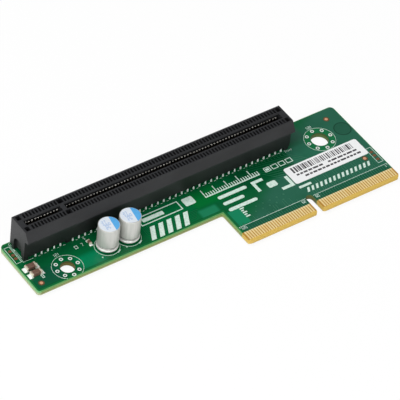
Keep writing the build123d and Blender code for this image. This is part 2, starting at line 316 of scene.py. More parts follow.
def ribbon_sides(points, width, closed):
    """The two sides of a flat line of even width, with mitred corners."""
    line = [Vector(p) for p in points]
    count = len(line)
    sides = []
    for i, point in enumerate(line):
        before = line[i - 1] if closed or i > 0 else point
        after = line[(i + 1) % count] if closed or i < count - 1 else point
        ahead = (after - point).normalized() if after != point else (point - before).normalized()
        behind = (point - before).normalized() if before != point else ahead
        middle = (ahead + behind).normalized()
        across = Vector((-middle.y, middle.x))
        reach = width / 2 / max(0.4, across.dot(Vector((-ahead.y, ahead.x))))
        sides.append((point + across * reach, point - across * reach))
    return sides


def lay_ribbon(mesh, points, width, bottom, top, closed=False):
    """A flat closed strip along the points."""
    rows = []
    for left, right in ribbon_sides(points, width, closed):
        corners = ((left, top), (right, top), (right, bottom), (left, bottom))
        rows.append([mesh.verts.new((p.x / 1000, p.y / 1000, height / 1000)) for p, height in corners])
    steps = len(rows) if closed else len(rows) - 1
    for i in range(steps):
        here, there = rows[i], rows[(i + 1) % len(rows)]
        for j in range(4):
            mesh.faces.new((here[j], there[j], there[(j + 1) % 4], here[(j + 1) % 4]))
    if not closed:
        mesh.faces.new(rows[0])
        mesh.faces.new(rows[-1][::-1])


def lay_row(mesh, points, height):
    """New corners of a mesh along the points, all at one height, in millimetres."""
    return [mesh.verts.new((px / 1000, py / 1000, height / 1000)) for px, py in points]


def lay_plate(mesh, points, bottom, top):
    """A flat closed plate with the points as its outline."""
    lower = lay_row(mesh, points, bottom)
    upper = lay_row(mesh, points, top)
    count = len(points)
    mesh.faces.new(upper)
    mesh.faces.new(lower[::-1])
    for i in range(count):
        mesh.faces.new((lower[i], lower[(i + 1) % count], upper[(i + 1) % count], upper[i]))


def arc(centre, radius, start=0.0, end=360.0, steps=40):
    """Points on an arc, from one angle to another in degrees. A whole turn doesn't repeat its start."""
    whole = abs(end - start) >= 360
    angles = [math.radians(start + (end - start) * i / steps) for i in range(steps if whole else steps + 1)]
    return [(centre[0] + radius * math.cos(a), centre[1] + radius * math.sin(a)) for a in angles]


def add_piece(name, mesh, material, smooth=False):
    """A finished mesh as a piece that rides on the part."""
    bmesh.ops.recalc_face_normals(mesh, faces=mesh.faces)
    data = bpy.data.meshes.new(name)
    mesh.to_mesh(data)
    mesh.free()
    data.materials.append(material)
    piece = bpy.data.objects.new(name, data)
    bpy.context.scene.collection.objects.link(piece)
    if smooth:
        data.shade_smooth()
    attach(piece, "root")
    return piece


track_coat, tree, shader = surface("mask_over_copper", paint(52, 118, 84), 0.28)
spot = place(tree)
x, y = coordinates(tree, spot)[:2]
slant = calc(tree, "SUBTRACT", x, calc(tree, "MULTIPLY", y, reflection_slope))
# Painted reflection: right of the same slanted line as the mask, the tracks are grey green.
track_tone = blend(tree, ramp(tree, slant, 60, 76), paint(4, 94, 52), paint(54, 114, 90))
dulled = ramp(tree, speckle(tree, spot, 5.0), 0.3, 0.7, 0.0, 0.35)
feed(tree, shader.inputs["Base Color"], blend(tree, dulled, track_tone, paint(30, 92, 62)))
shader.inputs["Specular IOR Level"].default_value = 0.35

sunk = 0.005
track_rise = 0.03
track_width = 0.16
track_top = board_top + track_rise
track_under = board_low.z - track_rise
board_level = board_top - sunk
under_level = board_low.z + sunk
finger_pitch = 0.8
half_finger = 0.3
left_fingers = 28
right_fingers = 32
finger_start = finger_low.x + half_finger
right_finger_start = box_mm("edge_fingers_top_right")[0].x + half_finger
track_foot = mask_end + 0.1

tracks = bmesh.new()


def lay_track(route):
    """A track on the upper face."""
    lay_ribbon(tracks, route, track_width, board_level, track_top)


for n in range(left_fingers):
    at = finger_start + n * finger_pitch
    reach = mask_end + random.choice((1.2, 1.6, 2.2, 3.2, 4.6))
    lay_track([(at, track_foot), (at, reach)])
side_step = 0.3
for n in range(right_fingers):
    at = right_finger_start + n * finger_pitch
    reach = -5.6 if n % 4 < 2 else mask_end + random.choice((1.4, 2.4, 3.4, 4.4))
    bend = mask_end + 1.6 + 0.8 * (n % 4)
    shifted = at + side_step
    lay_track([(at, track_foot), (at, bend), (shifted, bend + side_step), (shifted, max(reach, bend + 0.6))])

# On the underside two of three fingers have a track to the slot, which jogs aside at 45 degrees.
jog = 4.0
last_routed = 81
for start, count in ((finger_start, left_fingers), (right_finger_start, right_fingers)):
    for n in range(count):
        at = start + n * finger_pitch
        if n % 3 == 1:
            route = [(at, track_foot), (at, mask_end + 1.2 + 0.4 * (n % 4))]
        else:
            bend = -2.0 - 0.24 * n
            route = [(at, track_foot), (at, bend), (at - jog, bend + jog), (at - jog, 6.6)]
        if at < last_routed:
            lay_ribbon(tracks, route, track_width, track_under, under_level)

bundle_start = 63.0
bundle_pitch = 1.05
bundle_count = 15
bundle_run = 9.0
for n in range(bundle_count):
    start = bundle_start + n * bundle_pitch
    drop = 6.7 - 0.06 * n
    lay_track([(start, 7.0), (start, drop), (start + bundle_run, drop - bundle_run)])
for n in range(6):
    level = -1.9 + n * 0.5
    start = 25.6 + n * 0.5
    lay_track([(start, 3.3), (start, level + 1.0), (start + 1.0, level), (41.0 + n * 0.4, level)])
add_piece("copper_tracks", tracks, track_coat)

vias = bmesh.new()
via_radius = 0.3
via_pitch = 2.35
via_row_y = -8.2
via_places = [(56.7 + via_pitch * n, via_row_y) for n in range(5)]
via_places += [(57.9 + via_pitch * n, via_row_y + 1.7) for n in range(5)]
via_places += [(bundle_start - 0.5 + bundle_pitch * n, 7.35) for n in range(bundle_count)]
for via_place in via_places:
    lay_plate(vias, arc(via_place, via_radius, steps=16), board_level, track_top)
add_piece("plugged_vias", vias, track_coat)

# Bare copper and tinned pads: openings in the mask leave these free. Each mounting hole has a ring
# of eight tinned vias that earth it, two test rows of three vias stand in printed boxes, and the
# sighting marks, by which a machine finds the board, stand in round windows of bare laminate.


def lay_ring(mesh, centre, outer, inner, bottom, top, steps=20):
    """A flat ring with a hole in it."""
    rings = []
    for radius, height in ((inner, bottom), (outer, bottom), (outer, top), (inner, top)):
        rings.append(lay_row(mesh, arc(centre, radius, steps=steps), height))
    for j in range(4):
        here, there = rings[j], rings[(j + 1) % 4]
        for i in range(steps):
            mesh.faces.new((here[i], here[(i + 1) % steps], there[(i + 1) % steps], there[i]))


def mottled(name, first, second, size, roughness, metallic=0.0, detail=3.0):
    """A material whose colour wavers between two, in lumps of about the size in millimetres."""
    material, tree, shader = surface(name, first, roughness, metallic)
    spot = place(tree)
    feed(tree, shader.inputs["Base Color"], blend(tree, speckle(tree, spot, size, detail), first, second))
    return material, tree, shader, spot


tin, tree, shader, spot = mottled("tinned_copper", paint(246, 251, 247), paint(222, 232, 225), 0.4, 0.4, 0.1)
relief(tree, shader, speckle(tree, spot, 0.25), 0.3, 0.02)
dark_bore = mottled("shaded_bore", paint(16, 62, 38), paint(36, 96, 62), 0.2, 0.6)[0]


def on_both_faces(rise):
    """The bottom and top of a thin form on the board's upper face, and of one on its underside."""
    return (board_level, board_top + rise), (board_low.z - rise, under_level)


pads = bmesh.new()
bores = bmesh.new()
pad_radius = 0.58
pad_bore = 0.29
pad_rise = 0.035
bore_rise = 0.01
for centre, ring_radius in ((hole_left, 3.26), (hole_right, 3.73)):
    for n in range(8):
        angle = math.radians(45 * n)
        middle = (centre.x + ring_radius * math.cos(angle), centre.y + ring_radius * math.sin(angle))
        for bottom, top in on_both_faces(pad_rise):
            lay_ring(pads, middle, pad_radius, pad_bore, bottom, top)
        for bottom, top in on_both_faces(bore_rise):
            lay_plate(bores, arc(middle, pad_bore, steps=16), bottom, top)
add_piece("earthing_pads", pads, tin)
add_piece("earthing_pad_bores", bores, dark_bore)

copper, tree, shader, spot = mottled("bare_copper", paint(240, 182, 146), paint(206, 148, 110), 0.3, 0.4, 0.2)
relief(tree, shader, speckle(tree, spot, 0.12), 0.3, 0.01)
window = mottled("bare_laminate_window", paint(84, 54, 26), paint(108, 64, 30), 0.5, 0.55)[0]

mark_node = "sighting_marks"
mark_low, mark_high = box_mm(mark_node)
mark_radius = 0.5
mark_rise = 0.045
window_radius = 0.88
window_rise = 0.008
mark_places = [
    (mark_low.x + mark_radius, front_edge + 2.5),
    (mark_high.x - mark_radius, mark_high.y - mark_radius),
    (mark_high.x - mark_radius, mark_low.y + mark_radius),
]
marks = bmesh.new()
windows = bmesh.new()
for middle in mark_places:
    lay_ring(windows, middle, window_radius, mark_radius, board_level, board_top + window_rise, steps=32)
    lay_plate(marks, arc(middle, mark_radius, steps=32), board_level, board_top + mark_rise)
bmesh.ops.bevel(marks, geom=marks.edges[:], offset=0.00001, segments=1, affect="EDGES")
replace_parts(add_piece("sighting_marks_copper", marks, copper), mark_node)
add_piece("sighting_mark_windows", windows, window)

test_vias = bmesh.new()
test_windows = bmesh.new()
test_radius = 0.36
test_bore = 0.2
test_window_radius = 0.55
test_rise = 0.03
test_window_rise = 0.012
left_test_row = [(-10.4, 12.58), (-10.4, 10.98), (-10.4, 9.58)]
right_test_row = [(99.0, -5.22), (99.0, -6.72), (99.0, -8.32)]
for middle in left_test_row + right_test_row:
    for bottom, top in on_both_faces(test_rise):
        lay_ring(test_vias, middle, test_radius, test_bore, bottom, top)
    for bottom, top in on_both_faces(test_window_rise):
        lay_plate(test_windows, arc(middle, test_window_radius, steps=20), bottom, top)
tarnished = mottled("tarnished_copper", paint(168, 116, 86), paint(122, 80, 56), 0.25, 0.5, 0.2)[0]
add_piece("test_vias", test_vias, tarnished)
add_piece("test_via_windows", test_windows, window)

# Printing: white epoxy ink, screened about 0.05 mm thick onto the mask. It outlines the slot, the
# cans and the mounting holes, numbers the ends of the finger rows, and fills plain blocks, boxes
# and bars that a workshop writes in or stamps. The underside has only the plain outlines.

ink, tree, shader = surface("white_ink", paint(214, 234, 224), 0.55)
spot = place(tree)
thin_ink = ramp(tree, speckle(tree, spot, 0.5), 0.35, 0.8)
feed(tree, shader.inputs["Base Color"], blend(tree, thin_ink, paint(222, 240, 230), paint(182, 214, 198)))
relief(tree, shader, speckle(tree, spot, 0.15), 0.35, 0.01)

printing = bmesh.new()
ink_top = board_top + 0.05
ink_under = board_low.z - 0.04
ink_width = 0.11
fine_width = 0.09


def print_line(points, width=ink_width, closed=False):
    lay_ribbon(printing, points, width, board_level, ink_top, closed)


def print_box(left, low, right, high, width=ink_width):
    print_line([(left, low), (right, low), (right, high), (left, high)], width, closed=True)


def print_block(left, low, right, high, corner=0.25):
    """A filled block with rounded corners."""
    points = []
    for cx, cy, turn in (
        (right - corner, high - corner, 0),
        (left + corner, high - corner, 90),
        (left + corner, low + corner, 180),
        (right - corner, low + corner, 270),
    ):
        points += arc((cx, cy), corner, turn, turn + 90, steps=4)
    lay_plate(printing, points, board_level, ink_top)


def print_hatch(left, low, right, high, wide, pitch, lean):
    """A field of slanted stripes."""
    at = left
    while at + wide + lean <= right:
        points = [(at, low), (at + wide, low), (at + wide + lean, high), (at + lean, high)]
        lay_plate(printing, points, board_level, ink_top)
        at += pitch


# The digits are drawn with straight strokes, on a field 1 wide and 2 high.
digit_strokes = {
    "0": [(0, 0), (1, 0), (1, 2), (0, 2), (0, 0)],
    "1": [(0.3, 1.6), (0.6, 2), (0.6, 0)],
    "2": [(0, 2), (1, 2), (1, 1), (0, 1), (0, 0), (1, 0)],
    "5": [(1, 2), (0, 2), (0, 1), (1, 1), (1, 0), (0, 0)],
    "6": [(1, 2), (0, 2), (0, 0), (1, 0), (1, 1), (0, 1)],
    "7": [(0, 2), (1, 2), (0.4, 0)],
    "8": [(0, 1), (0, 2), (1, 2), (1, 0), (0, 0), (0, 1), (1, 1)],
}
digit_pitch = 1.45


def print_number(digits, left, low, height, width=0.1):
    scale = height / 2
    for n, digit in enumerate(digits):
        origin = left + n * scale * digit_pitch
        print_line([(origin + px * scale, low + py * scale) for px, py in digit_strokes[digit]], width)


# Outline of the slot: dashes between the joints at its foot, lines round its left end, and short
# strokes at its far end.
slot_low, slot_high = box_mm("slot_housing")
slot_front_line = 7.38
joint_pitch = 2
near_joints = [-5.3 + joint_pitch * n for n in range(5)]
far_joints = [6.7 + joint_pitch * n for n in range(36)]
for joint in near_joints + far_joints:
    print_line([(joint + 0.75, slot_front_line), (joint + 1.3, slot_front_line)], 0.1)
slot_corner = -9.35
slot_end_line = [(-6.2, slot_front_line), (slot_corner, slot_front_line), (slot_corner, 15.0), (-8.6, 15.45)]
print_line(slot_end_line, fine_width)
print_line([(-8.95, slot_front_line + 0.3), (-8.95, 14.8)], 0.07)
for n in range(5):
    left = 77.6 + 0.5 * n
    print_line([(left, 6.7), (left + 0.2, 7.3)], 0.12)
print_block(-9.2, 12.1, -9.06, 12.9, 0.05)

# Circles round the mounting holes and the cans. The left hole's circle is cut by the board's edge.
left_circle = arc(hole_left, 4.4, -58, 238, steps=60)
right_circle = arc(hole_right, 4.62, steps=72)
print_line(left_circle, fine_width)
print_line(right_circle, fine_width, closed=True)
print_number("121", -1.2, 4.85, 0.9)
print_number("122", 88.3, 11.2, 0.9)
can_places = [(13.55, 1.2), (20.5, 1.2)]
can_circles = [arc(middle, 3.55, steps=64) for middle in can_places]
for middle, circle, dot_shift in zip(can_places, can_circles, (3.35, 2.4)):
    print_line(circle, closed=True)
    print_line(arc(middle, 3.74, -70, -50, steps=10), 0.26)
    dot = arc((middle[0] - dot_shift, middle[1] - 2.95), 0.19, steps=14)
    lay_plate(printing, dot, board_level, ink_top)

# Boxes round the test rows, and the base lines of the finger rows with the numbers at their ends.
print_box(-11.3, 7.78, -9.7, 14.2)
print_box(98.2, -9.72, 99.9, -3.5)
finger_line_y = -11.02
line_tail = 0.6
left_tongue_line = [(49.0, finger_line_y), (71.6, finger_line_y)]
right_tongue_line = [(74.3, finger_line_y), (99.9, finger_line_y)]
print_line([(49.0, finger_line_y - line_tail)] + left_tongue_line)
print_line(right_tongue_line + [(99.9, finger_line_y - line_tail)])
finger_number_y = -12.2
finger_number_height = 0.85
for digits, left in (("125", 49.3), ("62", 70.0), ("60", 74.7), ("1", 99.0)):
    print_number(digits, left, finger_number_y, finger_number_height)

# Writing field with its block, stamping block and slanted bars right of the cans.
print_box(26.2, 2.75, 39.6, 5.9, 0.3)
print_block(27.2, 3.65, 34.2, 5.0, 0.3)
print_block(41.0, 2.9, 44.4, 5.9, 0.5)
print_hatch(25.4, -3.2, 42.9, 1.4, 1.55, 2.75, 2.3)

# Ruler of 24 ticks, with a long tick at every fifth, and four tick boxes, the first one filled.
print_line([(47.6, 3.2), (66.1, 3.2)], 0.36)
for n in range(24):
    tick = 47.8 + 0.79 * n
    print_line([(tick, 3.39), (tick, 6.1 if n % 5 == 0 else 4.6)], 0.28)
for n in range(4):
    left = 68.2 + n * 2.5
    print_box(left, 3.0, left + 1.75, 4.5, 0.22)
print_block(68.55, 3.35, 69.6, 4.15, 0.1)

# Three round-ended bars, a block between two corner marks, stripes above the right tongue, and a
# column of small blocks above the left one.
bar_height = 1.15
for low, right in ((0.55, 60.0), (-2.1, 57.4), (-4.75, 60.0)):
    print_block(50.4, low, right, low + bar_height, 0.55)
for points in (
    [(65.6, 1.3), (62.3, 1.3), (62.3, -2.4)],
    [(68.3, -4.7), (71.9, -4.7), (71.9, -1.0)],
):
    print_line(points, 1.0)
print_block(65.4, -2.7, 68.4, -0.6, 0.5)
print_hatch(73.8, -9.3, 96.4, -7.7, 0.75, 1.5, 0.8)
print_block(72.7, -7.05, 76.8, -6.25, 0.2)
for n in range(5):
    low = -5.5 - n * 0.8
    print_block(53.2, low, 54.6 - 0.5 * (n % 2), low + 0.45, 0.1)

# Figures beside the small chip and the pair of chips.
print_box(5.6, 4.5, 6.4, 5.5, 0.14)
print_number("7", 7.7, 4.45, 1.1)
print_number("5", 9.5, 6.35, 0.7)
print_number("8", -7.9, -0.1, 1.2, 0.14)

slot_outline = [(slot_low.x, 6.9), (slot_high.x, 6.9), (slot_high.x, 14.6), (slot_low.x, 14.6)]
for points in (slot_outline, right_circle, can_circles[0], can_circles[1]):
    lay_ribbon(printing, points, ink_width, ink_under, under_level, closed=True)
for points in (left_tongue_line, right_tongue_line, left_circle):
    lay_ribbon(printing, points, ink_width, ink_under, under_level)
add_piece("white_printing", printing, ink)

# Gold edge fingers: hard gold over nickel, plated onto the copper of both faces. They plug into
# the motherboard's slot, so they are bright and smooth, with faint rub marks along their length
# and a darker tone at their sides.

gold, tree, shader = surface("hard_gold", paint(246, 218, 158), 0.36, 0.2)
spot = place(tree)
x, y = coordinates(tree, spot)[:2]
rubbed = speckle(tree, spot, 0.5, 4.0, stretch=(1, 0.08, 1))
worn = blend(tree, ramp(tree, rubbed, 0.35, 0.7), paint(255, 232, 170), paint(244, 212, 142))
notch_middle = 73.0
on_right_tongue = calc(tree, "GREATER_THAN", x, notch_middle)
row_start = calc(tree, "MULTIPLY", on_right_tongue, right_finger_start - finger_start)
from_first = calc(tree, "SUBTRACT", calc(tree, "SUBTRACT", x, finger_start), row_start)
along_row = calc(tree, "ADD", calc(tree, "DIVIDE", from_first, finger_pitch), 0.5)
off_middle = calc(tree, "ABSOLUTE", calc(tree, "SUBTRACT", calc(tree, "FRACT", along_row), 0.5))
worn = blend(tree, ramp(tree, off_middle, 0.24, 0.36, 0.0, 0.8), worn, paint(204, 152, 62))
bright_root = ramp(tree, y, mask_end - 0.8, mask_end)
feed(tree, shader.inputs["Base Color"], blend(tree, bright_root, worn, paint(255, 240, 190)))
feed(tree, shader.inputs["Roughness"], ramp(tree, rubbed, 0.3, 0.7, 0.26, 0.42))
for name in ("top_left", "top_right", "under_left", "under_right"):
    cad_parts["edge_fingers_" + name].data.materials[0] = gold

# Slot housing: one black bar of glass-filled plastic, moulded with its vents, key bridge, end
# arches and pegs. Its faces have the fine even grain of a spark-eroded mould, a little paler
# where the glass comes to the surface. Its foot is painted darker than its top, as shade under
# its wide upper part, and its upward faces are painted lighter where the light falls on them.

plastic, tree, shader = surface("black_moulded_plastic", paint(34, 35, 37), 0.46)
spot = place(tree)
z = coordinates(tree, spot)[2]
grain = speckle(tree, spot, 0.18, 5.0)
cloudy = speckle(tree, spot, 4.0, 3.0, stretch=(0.4, 1, 1))
black = blend(tree, ramp(tree, cloudy, 0.3, 0.7), paint(26, 27, 29), paint(34, 35, 37))
# Painted shade: below the wide upper part the foot is darker.
black = blend(tree, ramp(tree, z, 7.6, 6.6, 0.0, 0.5), black, paint(10, 14, 12))
# Painted light: faces that look up are lighter.
black = blend(tree, ramp(tree, facing_up(tree), 0.6, 0.95), black, paint(38, 39, 42))
glassy = ramp(tree, grain, 0.5, 0.8, 0.0, 0.25)
feed(tree, shader.inputs["Base Color"], blend(tree, glassy, black, paint(54, 55, 59)))
feed(tree, shader.inputs["Roughness"], ramp(tree, grain, 0.3, 0.8, 0.42, 0.58))
relief(tree, shader, grain, 0.5, 0.03)
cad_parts["slot_housing"].data.materials[0] = plastic

# Slot contacts: springs stamped from bronze strip, one in each vent, rolled over and plated at the
# tips, where they touch the card, and tinned at their tails. Inside the housing the springs are
# painted dark as shade, and their rolled tips are painted near white as glints. The tails pass
# through tinned holes in the board and are wave soldered below it, where each ends in a small bright cone.

slot_rows = ("front_outer", "front_inner", "back_outer", "back_inner")
spring, tree, shader = surface("plated_bronze", paint(120, 98, 60), 0.34, 0.3)
spot = place(tree)
z = coordinates(tree, spot)[2]
# Painted shade: the springs are dark inside the housing, and their tails below it are tinned.
shaded_bronze = blend(tree, speckle(tree, spot, 0.4), paint(40, 31, 18), paint(24, 19, 12))
tinned_tail = ramp(tree, z, 4.2, 3.6)
feed(tree, shader.inputs["Base Color"], blend(tree, tinned_tail, shaded_bronze, paint(240, 244, 240)))
for row in slot_rows:
    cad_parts["slot_contacts_" + row].data.materials[0] = spring

# Painted glints: the rolled tips are painted near white.
tip_glint_white, tree, shader = mottled("tips_painted_as_glints", paint(255, 255, 250), paint(252, 246, 232), 0.2, 0.2)[:3]
shader.inputs["Specular IOR Level"].default_value = 0.9
dull_tin = paint(178, 182, 178)
solder, tree, shader, spot = mottled("wave_solder", paint(228, 230, 226), dull_tin, 0.3, 0.25, 0.85)
relief(tree, shader, speckle(tree, spot, 0.3), 0.2, 0.03)

tip_radius = 0.17
tip_half_length = 0.18
tip_height = box_mm("slot_contacts_front_outer")[1].z - tip_radius


def lay_turned(mesh, centre, profile, steps):
    """A closed turned form. The profile gives radius and height from the bottom up."""
    rings = []
    for radius, height in profile:
        points = [centre] if radius == 0 else arc(centre, radius, steps=steps)
        rings.append(lay_row(mesh, points, height))
    for here, there in zip(rings, rings[1:]):
        for i in range(steps):
            j = (i + 1) % steps
            if len(here) == 1:
                mesh.faces.new((here[0], there[j], there[i]))
            elif len(there) == 1:
                mesh.faces.new((here[i], here[j], there[0]))
            else:
                mesh.faces.new((here[i], here[j], there[j], there[i]))


def lay_tip(mesh, middle_x, middle_y):
    """The rolled tip of a spring: a short rounded bar across the slot's length."""
    ring = arc((middle_y, tip_height), tip_radius, steps=10)
    ends = []
    for end in (middle_x - tip_half_length, middle_x + tip_half_length):
        ends.append([mesh.verts.new((end / 1000, py / 1000, pz / 1000)) for py, pz in ring])
    for i in range(len(ring)):
        j = (i + 1) % len(ring)
        mesh.faces.new((ends[0][i], ends[0][j], ends[1][j], ends[1][i]))
    mesh.faces.new(ends[0][::-1])
    mesh.faces.new(ends[1])


joint_depth = box_mm("solder_joints_front_outer")[0].z
contact_steps = list(range(11)) + list(range(13, 84))
slot_first = -6.3
slot_line = 10.75
outer_row_offset = 2.95
inner_row_offset = 1.6
tip_offset = 1.27
cone = [(0, joint_depth), (0.12, joint_depth), (0.15, joint_depth * 0.62), (0.26, joint_depth * 0.25)]
cone += [(0.4, -0.01), (0, 0)]
collar_rises = ((0.31, 0.01), (0.28, 0.16), (0.24, 0.45), (0.17, 0.85), (0, 1.0))
collar = [(0, board_level)] + [(radius, board_top + rise) for radius, rise in collar_rises]
for row in slot_rows:
    side = -1 if row.startswith("front") else 1
    outer = row.endswith("outer")
    row_y = slot_line + side * (outer_row_offset if outer else inner_row_offset)
    cones = bmesh.new()
    collars = bmesh.new()
    tips = bmesh.new()
    for step in contact_steps[1::2] if outer else contact_steps[0::2]:
        contact_x = slot_first + step
        lay_tip(tips, contact_x, slot_line + side * tip_offset)
        lay_turned(cones, (contact_x, row_y), cone, 10)
        lay_turned(collars, (contact_x, row_y), collar, 10)
    cones_piece = add_piece("solder_cones_" + row, cones, solder, smooth=True)
    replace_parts(cones_piece, "solder_joints_" + row)
    add_piece("solder_collars_" + row, collars, tin, smooth=True)
    add_piece("contact_tips_" + row, tips, tip_glint_white)

# Can capacitors: drawn aluminium cans, coated satin grey, rolled in over a rubber bung that stands
# on the board. Their flat tops are white with a blue segment that marks the minus side, and a few
# small stamped figures.

can_coat, tree, shader = surface("coated_can", paint(200, 201, 197), 0.34, 0.3)
spot = place(tree)
z = coordinates(tree, spot)[2]
drawn = speckle(tree, spot, 0.6, 3.0, stretch=(1, 1, 0.06))
coat = blend(tree, ramp(tree, drawn, 0.3, 0.7), paint(205, 205, 200), paint(195, 196, 191))
# Painted highlight on the bulge at the foot, and painted shade in the groove above it.
bulge_highlight = between(tree, z, 2.35, 2.85, 0.1)
coat = blend(tree, bulge_highlight, coat, paint(238, 238, 234))
shaded_groove = calc(tree, "MULTIPLY", between(tree, z, 3.05, 3.55, 0.1), 0.75)
feed(tree, shader.inputs["Base Color"], blend(tree, shaded_groove, coat, paint(98, 98, 94)))
feed(tree, shader.inputs["Roughness"], ramp(tree, drawn, 0.3, 0.7, 0.34, 0.4))
relief(tree, shader, drawn, 0.08, 0.01)

can_white = mottled("can_top_white", paint(230, 236, 243), paint(210, 220, 232), 1.2, 0.4)[0]
can_blue = mottled("can_top_blue", paint(98, 180, 236), paint(76, 160, 222), 1.0, 0.4)[0]
can_figures = mottled("can_top_figures", paint(158, 188, 226), paint(132, 168, 216), 0.3, 0.5)[0]
rubber, tree, shader, spot = mottled("bung_rubber", paint(28, 28, 29), paint(46, 46, 47), 0.4, 0.7)
relief(tree, shader, speckle(tree, spot, 0.2), 0.3, 0.02)
lead_wire = mottled("tinned_wire", paint(214, 214, 208), paint(182, 182, 176), 0.3, 0.35, 0.9)[0]

foot_radius = 3.15
body_radius = 3.06
bulge = 0.56
body_round = 0.24
crown_round = 0.22
groove_radius = foot_radius - 0.58
groove_height = board_top + 1.9
disc_radius = body_radius - 0.2
disc_thickness = 0.04
minus_side = -9.0
chord = math.degrees(math.acos(0.34))
figure_scale = 0.42


def rounded(radius, height, small, start, end, steps=4):
    """A rounded corner of a turned profile, as radius and height."""
    return [
        (radius + small * math.cos(math.radians(a)), height + small * math.sin(math.radians(a)))
        for a in [start + (end - start) * i / steps for i in range(steps + 1)]
    ]


for side, middle in zip(("left", "right"), can_places):
    low, high = box_mm("capacitor_can_" + side)
    foot = low.z + 0.02
    crown = high.z
    profile = [(0, foot), (2.4, foot)]
    profile += rounded(foot_radius - bulge, foot + bulge, bulge, -75, 80, 12)
    profile += [(groove_radius, groove_height - 0.3), (groove_radius, groove_height - 0.1)]
    profile += rounded(body_radius - body_round, groove_height + 0.28, body_round, -80, 0, 5)
    profile += rounded(body_radius - crown_round, crown - 0.24, crown_round, 0, 78, 5)
    profile += [(body_radius - 0.28, crown - 0.03), (body_radius - 0.34, crown - 0.05), (0, crown - 0.05)]
    can_mesh = bmesh.new()
    lay_turned(can_mesh, middle, profile, 64)
    can_node = "capacitor_can_" + side
    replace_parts(add_piece(can_node + "_drawn", can_mesh, can_coat, smooth=True), can_node)
    top = crown - 0.02
    white = bmesh.new()
    white_edge = arc(middle, disc_radius, minus_side + chord, minus_side + 360 - chord, steps=44)
    lay_plate(white, white_edge, top - disc_thickness, top)
    add_piece("can_top_white_" + side, white, can_white)
    blue = bmesh.new()
    blue_edge = arc(middle, disc_radius, minus_side - chord, minus_side + chord, steps=20)
    lay_plate(blue, blue_edge, top - disc_thickness, top)
    add_piece("can_top_blue_" + side, blue, can_blue)
    figures = bmesh.new()
    for line, digits in enumerate(("27", "560", "25")):
        base = middle[1] + 0.95 - line * 1.2
        for n, digit in enumerate(digits):
            left = middle[0] - 1.5 + n * 0.72
            points = [(left + px * figure_scale, base + py * figure_scale) for px, py in digit_strokes[digit]]
            lay_ribbon(figures, points, 0.13, top - 0.02, top + 0.008)
    add_piece("can_top_figures_" + side, figures, can_figures)
    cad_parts["capacitor_bung_" + side].data.materials[0] = rubber
    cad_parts["capacitor_leads_" + side].data.materials[0] = lead_wire

lead_cones = bmesh.new()
lead_offset = 1.25
lead_depth = box_mm("capacitor_lead_joints")[0].z
lead_cone = [(0, lead_depth), (0.28, lead_depth), (0.31, lead_depth * 0.7), (0.45, lead_depth * 0.3)]
lead_cone += [(0.74, -0.01), (0, 0)]
for middle in can_places:
    for side in (-1, 1):
        lay_turned(lead_cones, (middle[0] + side * lead_offset, middle[1]), lead_cone, 20)
lead_cones_piece = add_piece("lead_solder_cones", lead_cones, solder, smooth=True)
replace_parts(lead_cones_piece, "capacitor_lead_joints")

# Chip capacitors: small bricks of fired brown ceramic with fired and tinned silver ends. They are
# held by solder paste to tinned lands, and the molten solder has drawn up their ends in hollow
# curves.

dark_brown = paint(92, 68, 56)
ceramic, tree, shader, spot = mottled("brown_ceramic", paint(122, 94, 80), dark_brown, 0.35, 0.5, detail=5.0)
relief(tree, shader, speckle(tree, spot, 0.12), 0.3, 0.02)

silver, tree, shader = surface("tinned_silver_ends", paint(236, 230, 212), 0.4, 0.15)
spot = place(tree)
fired = blend(tree, speckle(tree, spot, 0.3), paint(240, 233, 213), paint(206, 198, 176))
# Painted shade: the tops of the ends are darker than their sides.
tops_painted_darker = ramp(tree, facing_up(tree), 0.7, 0.95, 0.0, 0.7)
feed(tree, shader.inputs["Base Color"], blend(tree, tops_painted_darker, fired, paint(172, 158, 138)))
relief(tree, shader, speckle(tree, spot, 0.2), 0.3, 0.02)


def lay_brick(mesh, low, high, bevel):
    """A brick with softened edges, in millimetres."""
    made = bmesh.ops.create_cube(mesh, size=1)
    bmesh.ops.scale(mesh, vec=(high - low) / 1000, verts=made["verts"])
    bmesh.ops.translate(mesh, vec=(low + high) / 2000, verts=made["verts"])
    edges = list({edge for vert in made["verts"] for edge in vert.link_edges})
    bmesh.ops.bevel(mesh, geom=edges, offset=bevel / 1000, segments=3, profile=0.5, affect="EDGES")


def lay_fillet(mesh, foot, away, width, reach, rise):
    """A hollow curve of solder from the land up the end of a chip."""
    across = Vector((-away.y, away.x, 0))
    steps = 6
    turns = [math.radians(90 * i / steps) for i in range(steps + 1)]
    curve = [(reach * (1 - math.sin(a)), rise * (1 - math.cos(a))) for a in turns]
    rows = []
    for shift, fall in ((-0.5, 0.6), (-0.4, 1.0), (0.4, 1.0), (0.5, 0.6)):
        base = foot + across * shift * width
        row = []
        for out, up_by in curve:
            point = base + away * out * fall + Vector((0, 0, up_by * fall + 0.01))
            row.append(mesh.verts.new(point / 1000))
        row.append(mesh.verts.new(base / 1000))
        rows.append(row)
    count = len(rows[0])
    for here, there in zip(rows, rows[1:]):
        for i in range(count):
            j = (i + 1) % count
            mesh.faces.new((here[i], here[j], there[j], there[i]))
    mesh.faces.new(rows[0])
    mesh.faces.new(rows[-1][::-1])


lands = bmesh.new()
fillets = bmesh.new()
land_margin = 0.1
land_rise = 0.03
